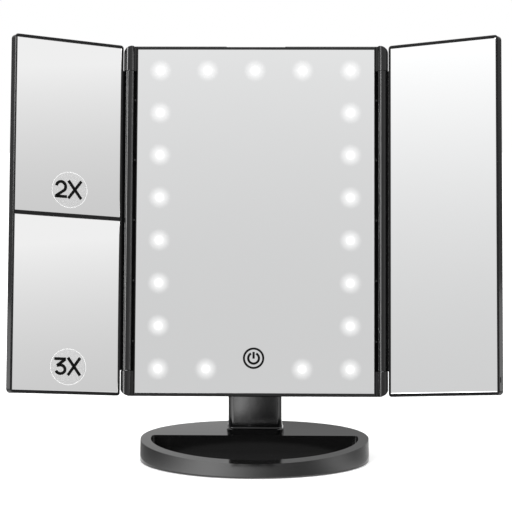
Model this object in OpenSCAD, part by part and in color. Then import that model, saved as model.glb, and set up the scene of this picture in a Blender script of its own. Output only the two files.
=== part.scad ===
// Trifold vanity mirror: a lit centre panel with two folding side mirrors, on a
// neck that rises from an oval base with a tray. Millimetres, +Z up, the user
// sits on the -Y side. The origin is the middle of the base on the plane of the
// rubber feet. Panel parts are drawn upright in the panel's own frame (x across,
// z up the glass, the glass plane at y = 0, its rear at +y) and then leaned back.

/* [Base] */
// Width of the oval base
base_w = 160; // [150:1:200]
// Depth of the oval base from front to back
base_d = 122; // [116:1:160]
// Height of the crown over the lower edge
base_h = 15.5; // [15:0.5:24]
// Radius of the crown, which falls towards the front
crown_r = 797; // [700:1:1600]
// Distance of the crown's crest behind the middle
crest_y = 35; // [20:1:45]
// Inset of the side wall's upper edge
base_draft = 0.5; // [0.2:0.1:1.5]
// Wall of the base moulding
base_wall = 2; // [1.6:0.1:2.6]
// Width of the rim in front of the tray
rim_front = 8.7; // [8:0.1:14]
// Width of the rim at the tray's ends
rim_side = 7.7; // [7:0.1:14]
// Distance of the tray's straight rear wall behind the middle
tray_back = 7.7; // [2:0.1:8]
// Radius of the tray's two rear corners
tray_corner = 2.5; // [1:0.5:5]
// Height of the tray's floor over the base's lower edge
tray_floor = 4; // [3.8:0.1:6]
// Thickness of the tray's floor
floor_t = 1.4; // [1:0.1:1.8]
// Thickness of the plate that closes the underside
plate_t = 1.6; // [1.2:0.1:2]
// Thickness of the steel ballast
ballast_t = 6; // [3:0.5:7]
// Diameter of a rubber foot
foot_d = 12; // [8:0.5:14]
// Thickness of a rubber foot
foot_t = 1.4; // [1.2:0.1:1.8]
// How far the feet stand proud of the base
foot_proud = 0.6; // [0.4:0.1:1]

/* [Neck and tilt joint] */
// Width of the neck
neck_w = 37.4; // [30:0.1:44]
// Depth of the neck from front to back
neck_d = 16; // [15:0.1:18]
// Distance of the neck's axis behind the middle
neck_y = 18.3; // [18:0.1:24]
// Radius of the neck's upright edges
neck_round = 4; // [2:0.5:6]
// Step of the collar beyond the neck
collar_step = 1.3; // [1:0.1:1.3]
// Height of the collar's top over the base's lower edge
collar_top = 18.7; // [17:0.1:22]
// Height of the flare over the collar
flare_h = 8; // [5:0.5:14]
// Wall of the hollow neck
neck_wall = 2.4; // [2:0.1:3]
// Height of the tilt axis over the base's lower edge
pivot_z = 68.2; // [60:0.1:90]
// Lean of the panel as it stands
rest_tilt = 13.16; // [0:0.01:20]
// Diameter of the tilt shaft
shaft_d = 5; // [4:0.5:6]
// Thickness of a friction washer
washer_t = 0.8; // [0.5:0.1:1.5]
// Diameter of a friction washer
washer_d = 13; // [10:0.5:14]
// Thickness of a lug on the panel
lug_t = 5.6; // [4.6:0.1:8]
// Radius of a lug's round end
lug_r = 7.5; // [7:0.1:8.5]
// Diameter of the shaft's head
shaft_head_d = 9.4; // [8:0.1:10]
// Thickness of the shaft's head
shaft_head_t = 2.4; // [1.6:0.1:2.6]
// Width of the shaft's nut across its flats
nut_af = 8; // [7:0.1:8.5]

/* [Centre panel] */
// Width of the centre glass
glass_w = 165.5; // [150:0.5:190]
// Height of all three panels
panel_h = 245; // [220:1:280]
// Thickness of the glass
glass_t = 2; // [1.6:0.1:2.4]
// Width of the frame beside the glass
side_strip = 0.95; // [0.8:0.05:2]
// Width of the frame over and under the glass
end_strip = 2.1; // [1.8:0.1:4]
// How far the frame's bead stands in front of the glass
bead = 0.3; // [0.2:0.05:0.6]
// Chamfer outside the bead
bead_chamfer = 0.5; // [0.3:0.05:0.7]
// Distance of the seam between frame and rear cover behind the glass
seam_y = 6; // [5.8:0.1:6.6]
// Distance of the rear cover's back behind the glass
panel_back = 16.5; // [16.5:0.1:20]
// Wall of the frame and the rear cover
panel_wall = 2; // [1.6:0.1:2.4]
// Radius of the panel's outer corners and rear edges
panel_round = 5.2; // [4:0.1:6]
// Width of the ledge that carries the glass
ledge_w = 3.4; // [2.5:0.1:4]
// Width of the finger notch in the top edge
notch_w = 40; // [20:1:60]
// Depth of the finger notch
notch_d = 0.8; // [0.4:0.1:1.2]
// Height of the tilt axis over the panel's lower edge
pivot_v = 28; // [24:0.1:34]
// Distance of the tilt axis behind the glass
pivot_back = 25.1; // [25.1:0.1:30]

/* [Lights and touch key] */
// Distance between the two columns of lights
led_span = 133; // [110:1:140]
// Height of the lowest row over the panel's lower edge
led_low = 19.1; // [16:0.1:24]
// Rows of lights in a column
led_rows = 8; // [4:1:9]
// Lights in the top row
led_top = 5; // [3:1:7]
// Gap between the highest row and the panel's top
led_high = 16.9; // [16:0.1:24]
// Width of a light board
board_w = 8; // [6:0.5:9]
// Thickness of a circuit board
board_t = 1.2; // [0.8:0.1:1.4]
// Edge of a light chip
chip_w = 3.5; // [2.5:0.1:5]
// Thickness of a light chip
chip_t = 0.8; // [0.5:0.1:1]
// Thickness of the light diffuser
diffuser_t = 0.8; // [0.5:0.1:0.8]
// Height of the touch key over the panel's lower edge
key_v = 26.4; // [24:0.1:34]
// Diameter of the touch pad behind the key
key_d = 16; // [12:0.5:18]

/* [Battery bay and rear controls] */
// Diameter of a battery cell
cell_d = 10.5; // [10.5:0.1:10.8]
// Length of a battery cell
cell_l = 44.5; // [40:0.5:50]
// Number of battery cells
cells = 4; // [2:1:6]
// Height of the bay's lower end over the panel's lower edge
bay_v = 110; // [90:1:150]
// Length of the room for a contact at each end of a cell
contact_l = 4.5; // [3.5:0.5:6]
// Wall of the battery bay
bay_wall = 1; // [0.8:0.1:1]
// Thickness of the battery door
door_t = 1.6; // [1.4:0.1:1.7]
// Overlap of the door round the bay
door_lip = 3; // [2.5:0.5:5]
// Distance of the charging socket to the right of the middle
socket_u = 44; // [38:1:60]
// Distance of the slide switch to the left of the middle
switch_u = 44; // [38:1:60]
// Height of socket and switch over the panel's lower edge
control_v = 60; // [50:1:80]
// Travel of the slide switch
switch_travel = 3; // [2:0.5:4]
// Width of the charging socket's mouth
socket_w = 8; // [7.5:0.5:10]
// Height of the charging socket's mouth
socket_h = 3; // [2.4:0.2:4]

/* [Side mirrors] */
// Length of a side panel from the hinge axis
wing_l = 88; // [80:0.1:88.1]
// Distance of a side panel's frame from the hinge axis
wing_gap = 4.5; // [4.4:0.1:5.2]
// Thickness of a side panel
wing_t = 6.4; // [6.2:0.1:8]
// Width of the frame beside the side mirrors
wing_strip = 1.5; // [1.2:0.1:3]
// Radius of the corners beside the hinge
wing_round_in = 2.2; // [1.5:0.1:3]
// Radius of the outer corners
wing_round_out = 3; // [2:0.1:4]
// Width of the bar between the two magnifying mirrors
bar_w = 2.6; // [2:0.1:5]
// Height of that bar's middle over the panel's lower edge
bar_v = 122.55; // [100:0.05:150]
// Hollow of the weaker magnifying mirror
sag_weak = 0.4; // [0.2:0.1:0.6]
// Hollow of the stronger magnifying mirror
sag_strong = 0.7; // [0.6:0.1:1]
// Thickness of the foam pads behind the mirrors
pad_t = 1.9; // [1:0.1:2]
// Turn of the left panel towards the user as it stands
left_open = 32.6; // [0:0.1:60]
// Turn of the right panel towards the user as it stands
right_open = 29.3; // [0:0.1:60]
// Length of the slot in the right panel's outer edge
slot_l = 3.6; // [2:0.1:8]
// Height of the slot's middle over the panel's lower edge
slot_v = 10.25; // [8:0.05:30]
// Width of the slot
slot_w = 1.5; // [1:0.1:2]
// Depth of the slot
slot_d = 1.2; // [0.6:0.1:1.3]

/* [Hinges] */
// Distance of a hinge axis beyond the glass edge
axis_out = 5.7; // [5.6:0.05:6.5]
// Distance of a hinge axis in front of the glass
axis_front = 0.5; // [0.4:0.1:0.8]
// Diameter of the hinge barrels
barrel_d = 6.3; // [5.8:0.1:6.4]
// Length of a hinge ear
ear_l = 17.4; // [12:0.1:26]
// Diameter of a hinge pin
pin_d = 2; // [1.5:0.1:2.5]
// Length of a hinge pin
pin_l = 14; // [10:0.5:20]
// Thickness of the web from the barrel to the side panel
web_t = 2.4; // [1.8:0.1:3]
// Ribs in each hinge groove
ribs = 5; // [0:1:9]
// Distance between two ribs
rib_pitch = 42.2; // [20:0.1:42.2]
// Width of a rib
rib_w = 1.2; // [0.8:0.1:2]

/* [Fits and fasteners] */
// Radial clearance of a turning pin or shaft
run_fit = 0.05; // [0.02:0.01:0.08]
// Gap between fixed pieces
seat_gap = 0.15; // [0.1:0.05:0.2]
// Gap between pieces that move past each other
move_gap = 0.3; // [0.25:0.05:0.4]
// Diameter of a small screw
screw_d = 2.6; // [2:0.1:3]
// Diameter of a small screw's head
screw_head_d = 5; // [4.5:0.1:5.5]
// Thickness of a small screw's head
screw_head_t = 1.5; // [1.2:0.1:1.6]
// Length of a small screw
screw_l = 7; // [6:0.5:8]
// Diameter of the bolts that hold the neck
bolt_d = 4; // [3:0.5:5]
// Length of the bolts that hold the neck
bolt_l = 12; // [10:0.5:12.5]

/* [Hidden] */

$fn = 48;
eps = 0.01;                      // how far a cutter runs past a face
big = 2000;                      // longer than any piece

ink = [0.07, 0.07, 0.075];       // black gloss mouldings
steel = [0.72, 0.73, 0.75];
silver = [0.85, 0.86, 0.88];
pale = [0.93, 0.93, 0.91];
board_green = [0.10, 0.28, 0.16];
rubber_grey = [0.16, 0.16, 0.16];

// Base
oval_steps = 96;
crown_z = foot_proud + base_h;
tray_z = foot_proud + tray_floor;
tray_w = base_w - 2 * rim_side;
tray_d = base_d - 2 * rim_front;
foot_a = 38;                     // bearing of a foot from the long axis
foot_out = 14;                   // distance of a foot's middle inside the edge
plate_screw_a = 14;              // bearing of a base screw beside a foot
boss_d = 7;                      // screw pillar
plate_land = 0.6;                // plate left under a base screw's head
ballast_in = 2;                  // ballast inside the screw pillars
pillar_w = neck_w - 2 * neck_wall;
pillar_floor = 9.6;              // underside of the neck's seat over the lower edge
bolt_x = 11;                     // neck bolts left and right of the middle
bolt_head_d = 7;
bolt_head_t = 2.4;
bolt_pocket_d = bolt_head_d + 2; // opening in the ballast for a bolt's head
cross_l = 0.6;                   // drive slot's length and width, as a share of the head
cross_w = 0.15;
plate_top = foot_proud + plate_t;

// Neck
collar_z = foot_proud + collar_top;
axis_z = foot_proud + pivot_z;
flare_z = collar_z + flare_h;
flare_step = collar_step - 0.3;  // leaves a narrow ledge round the collar
neck_half = neck_d / 2;
head_solid = 3;
head_z = axis_z - neck_half - head_solid;            // solid head over the hollow
hollow_z = flare_z + neck_wall;
cover_w = neck_w - 2 * neck_wall;
cover_rest = 1.2;                // rebate that carries the rear cover plate
cover_t = 2;
cover_low = collar_z + 3;
cover_high = axis_z - neck_half - cover_rest;
cover_round = neck_round - 1;
neck_head_d = screw_head_d - 0.8;
neck_head_t = 0.9;
neck_seat = cover_t / 2;         // the cover plate left under a screw's head
neck_screw_side = 4.4;           // screws from the cover plate's sides
neck_screw_x = cover_w / 2 - neck_screw_side;
neck_screw_in = 5;               // screws from the cover plate's ends

// Tilt joint, along X
lug_in = neck_w / 2 + washer_t + 2 * run_fit;
lug_out = lug_in + lug_t;
shaft_seat = lug_out - shaft_head_t - move_gap;
nut_t = shaft_head_t;

// Centre panel
half_glass = glass_w / 2;
axis_u = half_glass + axis_out;
barrel_r = barrel_d / 2;
half_body = half_glass + side_strip;
half_full = axis_u + barrel_r;
barrel_gap = 0.85;               // free turn of the barrel over the hinge groove
groove_y = barrel_r - axis_front + barrel_gap;       // floor of the hinge groove
ear_web_y = 0.35;                // front of the web between ear and frame
ear_stem = 0.8;                  // ear's stem, as a share of the barrel's width
rib_y = 0.4;                     // front of a groove rib
rib_out = 1.1;                   // reach of a rib beyond the frame
bead_round = 0.1;                // corners of the bead
pocket_fit = 0.05;               // round a mirror in its pocket
win_w = glass_w - 2 * ledge_w;
ledge_end = ledge_w + 1;         // wider over and under the window
glass_h = panel_h - 2 * end_strip;
win_h = glass_h - 2 * ledge_end;
mid_v = panel_h / 2;
diffuser_y = glass_t + seat_gap;
chip_y = diffuser_y + diffuser_t + seat_gap;
board_y = chip_y + chip_t;
rest_y = board_y + board_t + seat_gap;               // tips of the board posts
led_v1 = panel_h - led_high;
led_step = (led_v1 - led_low) / (led_rows - 1);
led_pitch = led_span / (led_top - 1);
inner_cover = panel_back - panel_wall;
dish_round = min(panel_round, (panel_back - seam_y) / 2);
screw_in = 9;                    // cover screws inside the panel's upper and lower edge
screw_side = 1.2;                // cover screws inside the glass edge
post_d = 5;
lug_mass = 2;                    // thickened back round the lugs
lug_mass_t = 1.5;
head_play = 0.4;                 // round the shaft's head and nut in their seats
cover_screw_seat = 3;            // from the seam back to the screw heads
screw_grip = screw_l - 1;

// Battery bay and rear controls
cell_gap = 0.5;
cell_pitch = cell_d + cell_gap;
bay_w = cells * cell_pitch + cell_gap;
door_round = 3;
door_ridges = 5;                 // thumb ridges across the door's upper end
ridge_w = 16;
ridge_t = 1;
ridge_pitch = 2.4;
ridge_deep = 0.5;
ridge_in = 2;
bay_l = cell_l + 2 * contact_l;
bay_front = diffuser_y + diffuser_t + seat_gap;
bay_floor = bay_front + bay_wall;
cell_y = bay_floor + cell_d / 2 + seat_gap;
door_y = panel_back - door_t;
bay_v1 = bay_v + bay_l;
contact_t = 0.4;
contact_edge = 8;
spring_wire = 0.35;              // wire radius
spring_r = 2.6;
spring_turns = 3;
spring_steps = 10;
knob_w = 3;
knob_l = 5;
knob_proud = 1.2;
switch_body_w = 6;
switch_body_l = 12;
switch_body_t = 4.5;
switch_deep = 2;                 // the knob's slot in the switch body
socket_deep = 5.5;
socket_lip = 0.4;
socket_sunk = 0.5;
control_y = panel_back - panel_wall - seat_gap;
control_board_w = 104;
control_board_h = 14;
control_board_v = 42;
board_lift = 2;
control_board_y = rest_y + board_lift;
door_pull = 20;                  // how far the door lifts off

// Side panels
ridge_n = axis_front - bead;     // bead of a side panel behind the hinge plane
mirror_n = axis_front;
wing_s1 = wing_l;
wing_back = ridge_n + wing_t;
pocket_s0 = wing_gap + wing_strip;
pocket_s1 = wing_s1 - wing_strip;
pad_n = mirror_n + glass_t;
floor_n = pad_n + pad_t;
barrel_z0 = ear_l + move_gap;
barrel_z1 = panel_h - ear_l - move_gap;
web_n = 1.2;                     // front face of the web behind the hinge plane
pad_d = 14;
dish_steps = 12;
tight_share = 0.5;               // share of the width that has the tight corners
web_in = 0.5;                    // web's bite into the side panel
slot_n = ridge_n + bead_chamfer + 1;
bar_lo = bar_v - bar_w / 2;
bar_hi = bar_v + bar_w / 2;
top_v = panel_h - end_strip;

// ---------------------------------------------------------------- helpers

// Points of an oval, by its two axes
function oval(w, d) =
    [for (i = [0:oval_steps - 1]) let (a = 360 * i / oval_steps)
        [w / 2 * cos(a), d / 2 * sin(a)]];

// Rounded rectangle about the origin, with true arcs
module rrect(w, h, r) {
    square([w - 2 * r, h], center = true);
    square([w, h - 2 * r], center = true);
    for (x = [-1, 1], y = [-1, 1])
        translate([x * (w / 2 - r), y * (h / 2 - r)]) circle(r);
}

// Extrudes an outline in the x-z plane from y = front to y = back
module slab(front, back) {
    translate([0, back, 0]) rotate([90, 0, 0]) linear_extrude(back - front) children();
}

// The same about a middle point, narrowing towards the user by c on each side
module bevel_slab(w, h, r, front, c) {
    translate([0, front + c, 0]) rotate([90, 0, 0])
        linear_extrude(c, scale = [(w - 2 * c) / w, (h - 2 * c) / h], slices = 1)
            rrect(w, h, r, $fn = 32);
}

// Leans the panel back about the tilt axis
module placed() {
    translate([0, neck_y, axis_z]) rotate([-rest_tilt, 0, 0])
        translate([0, -pivot_back, -pivot_v]) children();
}

// Puts a side panel, drawn for +x from its hinge axis, on either side
module hung(side, open) {
    placed() mirror([side < 0 ? 1 : 0, 0, 0])
        translate([axis_u, -axis_front, 0]) rotate([0, 0, -open]) children();
}

// Screw along +z with its head's underside at the origin
module screw(d, l, head_d, head_t) {
    difference() {
        union() {
            translate([0, 0, -head_t]) cylinder(d = head_d, h = head_t);
            translate([0, 0, -eps]) cylinder(d = d, h = l + eps);
        }
        translate([0, 0, -head_t]) for (a = [0, 90]) rotate([0, 0, a])
            cube([head_d * cross_l, head_d * cross_w, head_t], center = true);
    }
}

// Tube round a helix that narrows from r0 to r1
module coil(r0, r1, length, turns, wire, sides) {
    n = turns * spring_steps;
    ring = [for (i = [0:n], k = [0:sides - 1])
        let (t = i / n, a = 360 * turns * t, b = 360 * k / sides,
             r = r0 + (r1 - r0) * t + wire * cos(b))
        [r * cos(a), r * sin(a), wire + (length - 2 * wire) * t + wire * sin(b)]];
    wall = [for (i = [0:n - 1], k = [0:sides - 1]) let (j = (k + 1) % sides)
        [i * sides + j, (i + 1) * sides + j, (i + 1) * sides + k, i * sides + k]];
    cap0 = [for (k = [sides - 1:-1:0]) k];
    cap1 = [for (k = [0:sides - 1]) n * sides + k];
    polyhedron(ring, concat(wall, [cap0, cap1]));
}

// ---------------------------------------------------------------- base

// The oval block under its falling crown, drawn in by t all round
module base_block(t) {
    draft = base_draft;
    w = base_w - 2 * t;
    d = base_d - 2 * t;
    intersection() {
        translate([0, 0, foot_proud])
            linear_extrude(base_h, scale = [(w - 2 * draft) / w, (d - 2 * draft) / d], slices = 1)
                polygon(oval(w, d));
        translate([0, crest_y, crown_z - crown_r]) rotate([0, 90, 0])
            cylinder(r = crown_r - t, h = 2 * base_w, center = true, $fn = 720);
    }
}

// Outline of the tray: an oval cut by a chord, its two corners rounded
module tray_outline(grow) {
    c = tray_corner + grow;
    half = tray_w / 2 + grow;
    deep = tray_d / 2 + grow;
    corner_y = tray_back + grow - c;
    corner_x = (half - c) * sqrt(1 - pow(corner_y / (deep - c), 2));
    intersection() {
        polygon(oval(2 * half, 2 * deep));
        union() {
            translate([-half, corner_y - 2 * deep]) square([2 * half, 2 * deep]);
            translate([-corner_x, corner_y - eps]) square([2 * corner_x, c + eps]);
            for (x = [-1, 1]) translate([x * corner_x, corner_y]) circle(c);
        }
    }
}

function foot_at(a, inset) =
    [(base_w / 2 - inset) * cos(a), (base_d / 2 - inset) * sin(a)];
foot_bearings = [foot_a, 180 - foot_a, 180 + foot_a, 360 - foot_a];
screw_bearings = [for (a = foot_bearings) a + (cos(a) * sin(a) > 0 ? -1 : 1) * plate_screw_a];
screw_inset = base_wall + boss_d / 2 + plate_land;

module at_plate_screws() {
    for (a = screw_bearings) let (p = foot_at(a, screw_inset))
        translate([p[0], p[1], 0]) children();
}

// Four feet near the edge and one under the middle
module at_feet() {
    children();
    for (a = foot_bearings) let (p = foot_at(a, foot_out))
        translate([p[0], p[1], 0]) children();
}

module at_neck_bolts() {
    for (x = [-1, 1]) translate([x * bolt_x, neck_y, 0]) children();
}

module base_shell() {
    color(ink) difference() {
        base_block(0);
        translate([0, 0, tray_z]) linear_extrude(base_h) tray_outline(0);
        difference() {
            translate([0, 0, -eps]) base_block(base_wall);
            translate([0, 0, tray_z - floor_t]) linear_extrude(base_h)
                tray_outline(base_wall);
            translate([-pillar_w / 2, neck_y - neck_half, foot_proud + pillar_floor])
                cube([pillar_w, neck_d, base_h]);
            translate([0, 0, plate_top]) at_plate_screws() cylinder(d = boss_d, h = base_h);
        }
        translate([0, 0, plate_top - eps]) at_plate_screws() cylinder(d = screw_d, h = screw_l);
        at_neck_bolts() cylinder(d = bolt_d + 4 * run_fit, h = big);
    }
}

module plate_outline(gap) {
    polygon(oval(base_w - 2 * (base_wall + gap), base_d - 2 * (base_wall + gap)));
}

module base_plate() {
    color(ink) difference() {
        translate([0, 0, foot_proud]) linear_extrude(plate_t) plate_outline(seat_gap);
        translate([0, 0, -eps]) at_feet()
            cylinder(d = foot_d + 2 * seat_gap, h = foot_t + eps);
        at_plate_screws() cylinder(d = screw_d + 4 * run_fit, h = base_h);
        translate([0, 0, foot_proud - eps]) at_plate_screws()
            cylinder(d = screw_head_d + 2 * move_gap, h = plate_t - plate_land + eps);
    }
}

module ballast_plate() {
    inset = base_wall + boss_d + ballast_in;
    color(steel) difference() {
        translate([0, 0, plate_top + eps]) linear_extrude(ballast_t) intersection() {
            polygon(oval(base_w - 2 * inset, base_d - 2 * inset));
            translate([-base_w / 2, tray_back + base_wall + ballast_in]) square([base_w, base_d]);
        }
        at_neck_bolts() cylinder(d = bolt_pocket_d, h = base_h);
    }
}

module rubber_feet() {
    color(rubber_grey) at_feet() cylinder(d = foot_d, h = foot_t - seat_gap);
}

module base_screws() {
    head_t = plate_t - plate_land;
    color(steel) translate([0, 0, foot_proud + head_t]) at_plate_screws()
        screw(screw_d, screw_grip, screw_head_d, head_t);
}

// ---------------------------------------------------------------- neck

module neck_plan(grow) {
    rrect(neck_w + 2 * grow, neck_d + 2 * grow, neck_round + grow);
}

// Concave flare round the neck's foot, from arcs of one radius
module flare() {
    arc = (flare_step * flare_step + flare_h * flare_h) / (2 * flare_step);
    sx = neck_w / 2 - neck_round;
    sy = neck_d / 2 - neck_round;
    module profile() {
        difference() {
            translate([-eps, 0]) square([flare_step + eps, flare_h]);
            translate([arc, flare_h]) circle(arc, $fn = 96);
        }
    }
    for (x = [-1, 1], y = [-1, 1]) translate([x * sx, y * sy, 0])
        mirror([x < 0 ? 1 : 0, 0, 0]) mirror([0, y < 0 ? 1 : 0, 0])
            rotate_extrude(angle = 90) translate([neck_round, 0]) profile();
    for (y = [0, 1]) mirror([0, y, 0]) translate([-sx, neck_d / 2, 0])
        rotate([90, 0, 90]) linear_extrude(2 * sx) profile();
    for (x = [0, 1]) mirror([x, 0, 0]) translate([neck_w / 2, sy, 0])
        rotate([90, 0, 0]) linear_extrude(2 * sy) profile();
}

module neck_body() {
    // column under a round head
    intersection() {
        translate([0, 0, collar_z - eps]) linear_extrude(big) neck_plan(0);
        union() {
            translate([-neck_w / 2, -neck_half, 0]) cube([neck_w, neck_d, axis_z]);
            translate([0, 0, axis_z]) rotate([0, 90, 0])
                cylinder(r = neck_half, h = neck_w, center = true, $fn = 96);
        }
    }
    translate([0, 0, collar_z]) flare();
    translate([0, 0, foot_proud + base_h / 2]) linear_extrude(collar_z - foot_proud - base_h / 2)
        neck_plan(collar_step);
}

module neck() {
    color(ink) difference() {
        translate([0, neck_y, 0]) neck_body();
        // foot, cut to sit on the crown
        translate([0, crest_y, crown_z - crown_r]) rotate([0, 90, 0])
            cylinder(r = crown_r + run_fit, h = 2 * base_w, center = true, $fn = 720);
        // hollow, open to the rear, and the rebate for its cover plate
        translate([-cover_w / 2 + cover_rest, neck_y - neck_half + neck_wall, hollow_z])
            cube([cover_w - 2 * cover_rest, neck_d, head_z - hollow_z]);
        translate([0, neck_y + neck_half - cover_t, (cover_low + cover_high) / 2])
            slab(0, neck_d) rrect(cover_w, cover_high - cover_low, cover_round);
        at_neck_screws() rotate([90, 0, 0]) translate([0, 0, -eps])
            cylinder(d = screw_d, h = screw_grip - neck_seat + 2 * eps);
        translate([0, neck_y, axis_z]) rotate([0, 90, 0])
            cylinder(d = shaft_d + 2 * run_fit, h = big, center = true);
        translate([0, 0, collar_z - big / 2]) at_neck_bolts()
            cylinder(d = bolt_d, h = big / 2 + bolt_l - collar_top + pillar_floor + eps);
    }
}

module at_neck_screws() {
    for (x = [-1, 1], z = [cover_low + neck_screw_in / 2, cover_high - neck_screw_in / 2])
        translate([x * neck_screw_x, neck_y + neck_half - cover_t, z]) children();
}

module neck_cover() {
    color(ink) difference() {
        translate([0, neck_y + neck_half - cover_t + run_fit, (cover_low + cover_high) / 2])
            slab(0, cover_t - run_fit)
                rrect(cover_w - 2 * seat_gap, cover_high - cover_low - 2 * seat_gap,
                      cover_round - seat_gap);
        at_neck_screws() rotate([90, 0, 0]) translate([0, 0, -big / 2])
            cylinder(d = screw_d + 4 * run_fit, h = big);
        translate([0, neck_seat, 0]) at_neck_screws() rotate([-90, 0, 0])
            cylinder(d = neck_head_d + 4 * run_fit + eps, h = cover_t);
    }
}

module neck_screws() {
    color(steel) translate([0, neck_seat, 0]) at_neck_screws() rotate([90, 0, 0])
        screw(screw_d, screw_grip, neck_head_d, neck_head_t);
}

module foot_bolts() {
    color(steel) translate([0, 0, foot_proud + pillar_floor]) at_neck_bolts()
        screw(bolt_d, bolt_l, bolt_head_d, bolt_head_t);
}

module along_axis() {
    translate([0, neck_y, axis_z]) rotate([0, 90, 0]) children();
}

module tilt_shaft() {
    color(steel) along_axis() difference() {
        union() {
            translate([0, 0, -lug_out + move_gap]) cylinder(d = shaft_head_d, h = shaft_head_t);
            translate([0, 0, -shaft_seat - eps])
                cylinder(d = shaft_d, h = shaft_seat + lug_out - move_gap + eps);
        }
        translate([0, 0, -lug_out + move_gap]) for (a = [0, 90]) rotate([0, 0, a])
            cube([shaft_head_d * cross_l, shaft_head_d * cross_w, shaft_head_t],
                 center = true);
    }
}

module tilt_nut() {
    color(steel) along_axis() translate([0, 0, shaft_seat]) difference() {
        cylinder(d = nut_af / cos(30), h = nut_t, $fn = 6);
        translate([0, 0, -eps]) cylinder(d = shaft_d + run_fit, h = nut_t + 2 * eps);
    }
}

module friction_washers() {
    color(steel) along_axis() for (side = [0, 1]) mirror([0, 0, side])
        translate([0, 0, neck_w / 2 + run_fit]) difference() {
            cylinder(d = washer_d, h = washer_t);
            translate([0, 0, -eps]) cylinder(d = shaft_d + 2 * run_fit, h = washer_t + 2 * eps);
        }
}

// ---------------------------------------------------------------- centre panel

// Full outline, hinges included
module full_outline(inset) {
    translate([0, mid_v])
        rrect(2 * (half_full - inset), panel_h - 2 * inset, panel_round - inset);
}

// Ears over and under each side panel's barrel, with the web to the frame
module ears() {
    intersection() {
        for (side = [-1, 1], z = [0, panel_h - ear_l]) translate([side * axis_u, 0, z]) {
            translate([0, -axis_front, 0]) cylinder(r = barrel_r, h = ear_l);
            translate([side > 0 ? -axis_out : 0, ear_web_y, 0])
                cube([axis_out, groove_y, ear_l]);
            translate([-barrel_r * ear_stem, 0, 0])
                cube([barrel_d * ear_stem, groove_y + eps, ear_l]);
        }
        slab(-2 * barrel_d, seam_y) full_outline(0);
    }
}

module front_frame() {
    bead_y = -bead;
    color(ink) placed() difference() {
        union() {
            slab(groove_y, seam_y) full_outline(0);
            slab(bead_y + bead_chamfer, seam_y) translate([0, mid_v])
                square([2 * half_body, panel_h], center = true);
            translate([0, 0, mid_v])
                bevel_slab(2 * half_body, panel_h, bead_round, bead_y, bead_chamfer);
            ears();
            for (side = [-1, 1], i = [0:1:ribs - 1])
                translate([side * half_body - rib_out, rib_y,
                           mid_v + (i - (ribs - 1) / 2) * rib_pitch - rib_w / 2])
                    cube([2 * rib_out, groove_y, rib_w]);
        }
        // glass pocket, window behind the ledge, and the corners it rounds off
        slab(-big, glass_t + pocket_fit) translate([0, mid_v])
            square([glass_w + 2 * pocket_fit, glass_h + 2 * pocket_fit], center = true);
        slab(-big, big) translate([0, mid_v])
            rrect(win_w, win_h, panel_round);
        slab(-big, big) difference() {
            translate([0, mid_v]) square([big, 2 * panel_h], center = true);
            full_outline(0);
        }
        // finger notch in the top edge
        slab(-big, glass_t) polygon([
            [-notch_w / 2 - notch_d, panel_h + eps], [-notch_w / 2, panel_h - notch_d],
            [notch_w / 2, panel_h - notch_d], [notch_w / 2 + notch_d, panel_h + eps]]);
        for (side = [-1, 1], z = [ear_l - pin_l / 2, panel_h - ear_l])
            translate([side * axis_u, -axis_front, z - (z > mid_v ? eps : 0)])
                cylinder(d = pin_d, h = pin_l / 2 + eps);
        at_cover_screws() rotate([90, 0, 0]) translate([0, 0, -eps])
            cylinder(d = screw_d, h = screw_grip - cover_screw_seat + 2 * eps);
    }
}

// Places on the seam plane where the rear cover's screws go in
module at_cover_screws() {
    for (side = [-1, 1], z = [screw_in, mid_v, panel_h - screw_in])
        translate([side * (half_glass - screw_side), seam_y, z]) children();
}

// Dish with round rear edges: the outline's corners and its rim share one radius
module dish(inset, back) {
    r = dish_round - inset;
    w = 2 * (half_full - inset);
    h = panel_h - 2 * inset;
    slab(seam_y, back - r) translate([0, mid_v]) rrect(w, h, r);
    slab(seam_y, back) translate([0, mid_v]) square([w - 2 * r, h - 2 * r], center = true);
    for (x = [-1, 1]) translate([x * (w / 2 - r), back - r, mid_v])
        cylinder(r = r, h = h - 2 * r, center = true);
    for (z = [-1, 1]) translate([0, back - r, mid_v + z * (h / 2 - r)]) rotate([0, 90, 0])
        cylinder(r = r, h = w - 2 * r, center = true);
    for (x = [-1, 1], z = [-1, 1])
        translate([x * (w / 2 - r), back - r, mid_v + z * (h / 2 - r)]) sphere(r);
}

module lug_profile() {
    translate([pivot_back, pivot_v]) circle(lug_r, $fn = 96);
    translate([inner_cover, pivot_v - lug_r]) square([pivot_back - inner_cover, 2 * lug_r]);
}

module lugs() {
    for (x = [-lug_out, lug_in]) translate([x, 0, 0])
        rotate([90, 0, 90]) linear_extrude(lug_t) lug_profile();
}

module bay_box(t, front) {
    translate([-bay_w / 2 - t, front, bay_v - t])
        cube([bay_w + 2 * t, panel_back - front - eps, bay_l + 2 * t]);
}

module door_outline(gap) {
    translate([0, bay_v + bay_l / 2])
        rrect(bay_w + 2 * (door_lip - gap), bay_l + 2 * (door_lip - gap), door_round - gap);
}

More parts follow.
